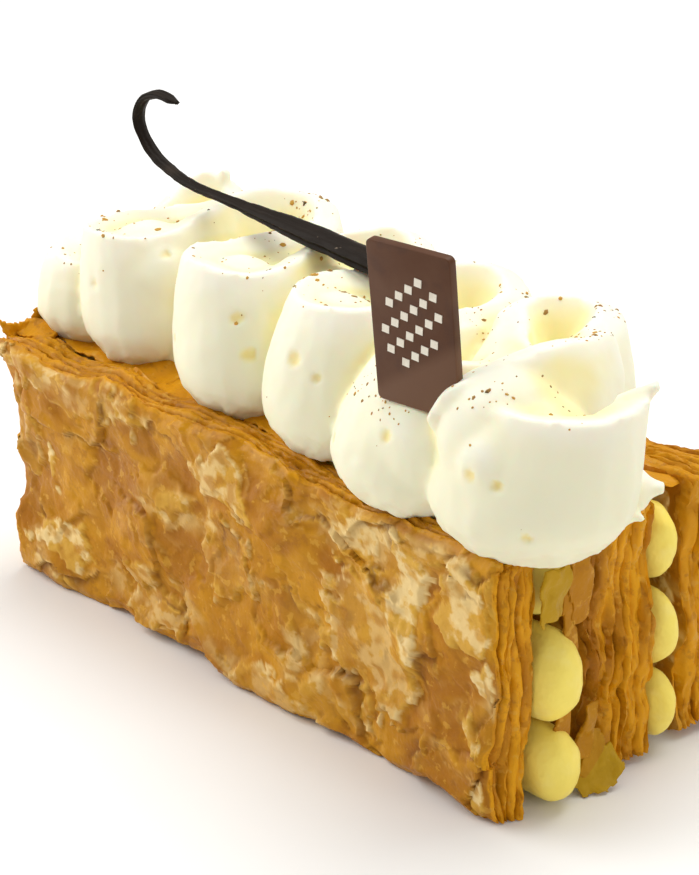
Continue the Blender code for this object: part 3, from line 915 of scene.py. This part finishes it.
def ribbon(name, stations, spans, foot_z):
    """A long cylinder whose rings are laid along the piping route. In the
    bends the rim stays over the outer belly, so the wall there is upright."""
    count = spans[0] * spans[1]
    plan = smooth_route(stations, count)
    sides = 2 * (RIBBON_LEVELS + 1)
    bpy.ops.mesh.primitive_cylinder_add(vertices=sides, radius=1, depth=2,
                                        end_fill_type="TRIFAN")
    obj = name_it(name)
    bpy.ops.object.mode_set(mode="EDIT")
    divide(obj, 2, spans)
    bpy.ops.object.mode_set(mode="OBJECT")
    for v in obj.data.vertices:
        n = round((v.co.z + 1) / 2 * count)
        x, y, half, high, lean_x, lean_y = plan[n]
        ahead = plan[min(n + 1, count)][:2] - plan[max(n - 1, 0)][:2]
        side = Vector((ahead[1], -ahead[0], 0)).normalized()
        turning = plan[min(n + 4, count)][:2] + plan[max(n - 4, 0)][:2] - 2 * plan[n][:2]
        bend = -clamp((side.x * turning[0] + side.y * turning[1]) / 1.6, -1.0)
        close = min(1.0, 0.35 + 0.2 * min(n, count - n))
        middle = v.co.x**2 + v.co.y**2 < 0.5
        turn = round(math.atan2(v.co.y, v.co.x) / (2 * math.pi) * sides) % sides
        share = min(turn, sides - 1 - turn) / RIBBON_LEVELS
        half *= close
        wide = ribbon_half(half, share)
        outward = bend * OUTWARD * (half - wide) if share > BELLY_AT else 0.0
        wide *= 0 if middle else (1 if turn <= RIBBON_LEVELS else -1)
        share = 0.5 if middle else share
        high *= 0.8 + 0.2 * close
        high += 1.1 * wave(x / 9, y / 9, 5.0) * smooth(0.5, 1.0, share)
        v.co = (Vector((x + lean_x * share**2, y + lean_y * share**2, 0))
                + side * (wide + outward))
        foot = foot_z + RAISED_END * smooth(count - 9, count - 2, n)
        v.co.z = foot + share * (BED + high - foot)
    return obj


def lump(kind, centre, radii, turn=(0, 0, 0)):
    """A swell or a peak of cream, placed on the piping plan in mm."""
    if kind == "peak":
        bpy.ops.mesh.primitive_cone_add(vertices=16, radius1=1, radius2=0.36, depth=2,
                                        location=centre, scale=radii, rotation=turn)
    else:
        bpy.ops.mesh.primitive_uv_sphere_add(segments=32, ring_count=20, radius=1,
                                             location=centre, scale=radii, rotation=turn)
    return settled("cream_" + kind)


def core():
    """The mound that closes the valleys between neighbouring passes."""
    bpy.ops.mesh.primitive_cube_add(size=2, location=CORE_MIDDLE, scale=CORE_HALF)
    obj = settled("cream_core")
    finish_with(obj, "SUBSURF", levels=4, render_levels=4)
    return obj


def cream_body():
    """All the passes and swells in one skin, softened but for the torn tips."""
    parts = [ribbon("cream_ribbon", ribbon_stations(), RIBBON_SPANS, FOOT_Z),
             ribbon("cream_shoulder", SHOULDER, SHOULDER_SPANS, SHOULDER_FOOT), core()]
    parts += [lump("swell", centre, radii) for centre, radii in FILLED]
    for root, tip, half in PEAKS:
        run = Vector(tip) - Vector(root)
        parts.append(lump("peak", (Vector(root) + Vector(tip)) / 2,
                          (half, half, run.length / 2 + 0.6),
                          run.to_track_quat("Z", "Y").to_euler()))
    obj = join("whipped_cream_piped", parts)
    obj.data.transform(Matrix.Translation(-MIDDLE) @ Matrix.Scale(MM, 4))
    finish_with(obj, "REMESH", mode="VOXEL", voxel_size=CREAM_VOXEL * MM,
                use_smooth_shade=True)
    tips = [from_plan(tip) for _, tip, _ in PEAKS]

    def off_tips(v):
        far = min((v.co - tip).length for tip in tips) / MM
        return 0.3 + 0.7 * smooth(3.0, 8.0, far)

    share_out(obj, "soft", off_tips)
    finish_with(obj, "SMOOTH", factor=0.5, iterations=SOFTENED, vertex_group="soft")
    return obj


def open_pits(obj):
    """Presses in the small air pockets on the fronts of the folds."""
    pits = [0.0] * len(obj.data.vertices)
    for at_x, at_z, wide in PITS:
        near = []
        for v in obj.data.vertices:
            far = math.hypot(v.co.x / MM - at_x, v.co.z / MM - at_z) / wide
            if v.normal.y < -0.2 and far < 1.5:
                near.append((v, far))
        front = min((v.co.y for v, _ in near), default=0) + PIT_REACH * MM
        for v, far in near:
            if v.co.y < front:
                pits[v.index] = 1 - smooth(0.5, 1.3, far)
    share_out(obj, "pits", lambda v: pits[v.index])
    finish_with(obj, "DISPLACE", strength=-PIT_DEPTH * MM, mid_level=0.0,
                vertex_group="pits")
    note(obj, "pit", pits)


def note_tones(obj):
    """Stores where the cream is painted yellower or paler: painted shade in hollows and low
    down, a painted highlight on up-facing rims.
    """
    only(obj)
    bpy.ops.object.duplicate()
    soft = name_it("cream_softened")
    finish_with(soft, "SMOOTH", factor=0.9, iterations=HOLLOW_SOFTENED)
    # heavy smoothing lifts points in the folds outward and sinks the rims
    lifts = [(b.co - a.co).dot(a.normal) / MM
             for a, b in zip(obj.data.vertices, soft.data.vertices)]
    bpy.data.objects.remove(soft, do_unlink=True)
    painted_hollow_shade = []
    for v, lift in zip(obj.data.vertices, lifts):
        amount = smooth(-0.1, 0.7, lift)
        for centre, wide in HOLLOWS:
            inward = from_plan(centre) - v.co
            faces = smooth(0.1, 0.7, inward.normalized().dot(v.normal))
            amount = max(amount, faces * (1 - smooth(0.6, 1.0, inward.length / MM / wide)))
        painted_hollow_shade.append(amount)
    note(obj, "painted_hollow_shade", painted_hollow_shade)
    # painted highlight on convex rims facing up
    note(obj, "rim", [smooth(0.2, 0.9, -lift) * smooth(-0.2, 0.5, v.normal.z)
                      for lift, v in zip(lifts, obj.data.vertices)])
    # painted shade low down on faces that do not point up
    note(obj, "low", [smooth(70, 46, v.co.z / MM) * (1 - smooth(0.2, 0.7, v.normal.z))
                      for v in obj.data.vertices])


def whipped_cream():
    obj = cream_body()
    push(obj, "cream swells", 9, 0.7)
    push(obj, "cream dimples", 2.2, 0.14)
    share_out(obj, "feet", lambda v: 1 - smooth(*FEET, v.co.z / MM))
    push(obj, "ragged feet", 3.2, 1.6, mid_level=0.45, vertex_group="feet")
    open_pits(obj)
    note_tones(obj)
    return present(obj, CREAM, "whipped_cream", "whipped_cream")


cream = whipped_cream()


# ---- vanilla pod ---------------------------------------------------------
def vanilla_pod():
    """A grooved, flattened outline swept along the pod's route."""
    bpy.ops.curve.primitive_bezier_circle_add(radius=1.0)
    outline = name_it("pod_outline")
    outline.data.splines.clear()
    ring = outline.data.splines.new("POLY")
    ring.points.add(POD_SIDES - 1)
    for i, point in enumerate(ring.points):
        a = 2 * math.pi * i / POD_SIDES
        r = 1 + 0.10 * math.sin(5 * a + 1) + 0.06 * math.sin(9 * a)
        point.co = (r * math.cos(a) * MM / 2, r * POD_FLATNESS * math.sin(a) * MM / 2, 0, 1)
    ring.use_cyclic_u = True
    bpy.ops.curve.primitive_nurbs_path_add()
    obj = name_it("vanilla_pod_dried")
    route = smooth_route([(x, POD_Y, z) for x, z in POD_ROUTE], POD_STEPS, axes=3)
    obj.data.splines.clear()
    path = obj.data.splines.new("POLY")
    path.points.add(POD_STEPS)
    thick_end, tip = POD_WIDTH
    for n, (point, here) in enumerate(zip(path.points, route)):
        share = n / POD_STEPS
        thin = 0.5 - 0.5 * math.cos(math.pi * clamp((share - THIN_FROM) / THIN_RUN))
        wide = thick_end + (tip - thick_end) * thin
        wide *= 1 + 0.07 * wave(share * 23, 0, 0)
        point.co = (*from_plan(here), 1)
        point.radius = wide * min(1.0, 0.45 + 0.25 * min(n, POD_STEPS - n))
    obj.data.twist_mode = "MINIMUM"
    obj.data.bevel_mode = "OBJECT"
    obj.data.bevel_object = outline
    obj.data.use_fill_caps = True
    only(obj)
    bpy.ops.object.convert(target="MESH")
    bpy.ops.object.transform_apply(location=True, rotation=True, scale=True)
    bpy.data.objects.remove(outline, do_unlink=True)
    push(obj, "pod wrinkles", 2.0, 0.35)
    round_faces(obj, 50)
    present(obj, POD, "dried_pod", "vanilla_pod")


vanilla_pod()


# ---- chocolate plaque ----------------------------------------------------
PLAQUE_PLACE = (Matrix.Translation(from_plan(PLAQUE_CENTRE))
                @ Matrix.Rotation(PLAQUE_TURN, 4, "Z")
                @ Matrix.Rotation(PLAQUE_LEAN, 4, "X") @ Matrix.Scale(MM, 4))


def plaque():
    wide, thick, high = PLAQUE_SIZE
    bpy.ops.mesh.primitive_cube_add(size=1, scale=(wide, thick, high))
    obj = settled("chocolate_plaque_cast")
    bpy.ops.object.mode_set(mode="EDIT")
    pick(obj, "EDGE", lambda e: abs(e.verts[0].co.y - e.verts[1].co.y) > thick / 2)
    bpy.ops.mesh.bevel(offset=PLAQUE_CORNER, segments=5, affect="EDGES")
    pick(obj, "EDGE", lambda e: abs(e.verts[0].co.y - e.verts[1].co.y) < 0.01)
    bpy.ops.mesh.bevel(offset=PLAQUE_EDGE, segments=3, affect="EDGES")
    bpy.ops.object.mode_set(mode="OBJECT")
    obj.data.transform(PLAQUE_PLACE)
    round_faces(obj, 35)
    present(obj, CHOCOLATE, "chocolate", "chocolate_plaque")


def plaque_print():
    """Rows of small lozenges on a slant, laid on the front face."""
    cos, sin = math.cos(ROW_SLANT), math.sin(ROW_SLANT)
    parts = []
    for row, length in enumerate(LOZENGE_ROWS):
        over = ((len(LOZENGE_ROWS) - 1) / 2 - row) * ROW_STEP
        for step in range(length):
            along = (step - (length - 1) / 2) * LOZENGE_STEP
            bpy.ops.mesh.primitive_plane_add(
                size=LOZENGE, rotation=(math.radians(90), math.radians(45) - ROW_SLANT, 0),
                location=(along * cos - over * sin * 0.4, -PLAQUE_SIZE[1] / 2,
                          along * sin + over + ROWS_UP))
            parts.append(settled("lozenge"))
    obj = join("plaque_decoration", parts)
    finish_with(obj, "SOLIDIFY", thickness=LOZENGE_THICK, offset=0.6)
    obj.data.transform(PLAQUE_PLACE)
    present(obj, PRINT, "chocolate")


plaque()
plaque_print()


# ---- specks --------------------------------------------------------------
def scatter(name, host, count, sizes, keep, sink, seed):
    """Small uneven grains set on a host's faces, joined as one mesh."""
    rng = random.Random(seed)
    bpy.ops.mesh.primitive_ico_sphere_add(subdivisions=1, radius=1.0)
    grain = name_it("grain")
    faces = [p for p in host.data.polygons if rng.random() < keep(p)]
    whole = bmesh.new()
    for face in rng.sample(faces, min(count, len(faces))):
        size = rng.uniform(*sizes) * MM * (0.6 + 0.8 * rng.random() ** 3)
        turn = face.normal.to_track_quat("Z", "Y").to_matrix().to_4x4()
        shape = Matrix.Diagonal((rng.uniform(0.6, 1.5), rng.uniform(0.6, 1.2), 0.6, 1))
        shape *= size
        shape[3][3] = 1
        before = len(whole.verts)
        whole.from_mesh(grain.data)
        whole.verts.ensure_lookup_table()
        place = (Matrix.Translation(face.center - face.normal * size * sink) @ turn
                 @ Matrix.Rotation(rng.uniform(0, 6.3), 4, "Z") @ shape)
        for v in whole.verts[before:]:
            v.co = place @ (v.co * rng.uniform(0.75, 1.2))
    whole.to_mesh(grain.data)
    whole.free()
    grain.name = name
    grain.data.name = name
    return grain


def on_cream(face):
    """How likely a face of the cream is to carry a speck."""
    z = face.center.z / MM
    if face.normal.z < 0.5 or z < 56:
        return 0.004 if face.normal.y < -0.3 and z > 48 else 0.0
    spot = noise.noise(face.center / (11 * MM))
    return 0.10 + 0.8 * smooth(0.0, 0.5, spot)


specks = scatter("vanilla_specks", cream, SPECK_COUNT, SPECK_SIZES, on_cream,
                 sink=0.1, seed=5)
present(specks, SPECKS, "dried_pod")


# ---- stage ---------------------------------------------------------------
def stage():
    """A plain pale floor, a soft room and four lamps."""
    bpy.ops.mesh.primitive_plane_add(size=6.0, location=(0, 0, -0.0002))
    floor = name_it("floor")
    floor.data.materials.append(Finish("pale floor", (0.9, 0.9, 0.9), 0.8).done())

    scene = bpy.context.scene
    scene.world = bpy.data.worlds.new("soft room")
    scene.world.use_nodes = True
    air = scene.world.node_tree.nodes["Background"]
    air.inputs["Color"].default_value = (1.0, 0.99, 0.97, 1)
    air.inputs["Strength"].default_value = ROOM_LIGHT
    for name, place, size, power, colour in LAMPS:
        light = bpy.data.lights.new(name, "AREA")
        light.shape = "DISK"
        light.size = size
        light.energy = power
        light.color = colour
        lamp = bpy.data.objects.new(name, light)
        scene.collection.objects.link(lamp)
        lamp.location = place
        towards = Vector((0, 0, 0.04)) - Vector(place)
        lamp.rotation_euler = towards.to_track_quat("-Z", "Y").to_euler()
    scene.view_settings.view_transform = "Standard"


def camera():
    back = Vector((math.sin(AZIMUTH) * math.cos(ELEVATION),
                   -math.cos(AZIMUTH) * math.cos(ELEVATION), math.sin(ELEVATION)))
    right = Vector((0, 0, 1)).cross(back).normalized()
    up = back.cross(right)
    right, up = (math.cos(ROLL) * right + math.sin(ROLL) * up,
                 -math.sin(ROLL) * right + math.cos(ROLL) * up)
    lens = bpy.data.cameras.new("camera")
    lens.sensor_width = SENSOR
    lens.lens = LENS
    lens.clip_start = 0.01
    lens.dof.use_dof = False
    eye = bpy.data.objects.new("camera", lens)
    bpy.context.scene.collection.objects.link(eye)
    aim = from_plan(CAMERA_AIM)
    turn = Matrix((right, up, back)).transposed().to_4x4()
    eye.matrix_world = Matrix.Translation(aim + back * CAMERA_FAR) @ turn
    bpy.context.scene.camera = eye


stage()
camera()
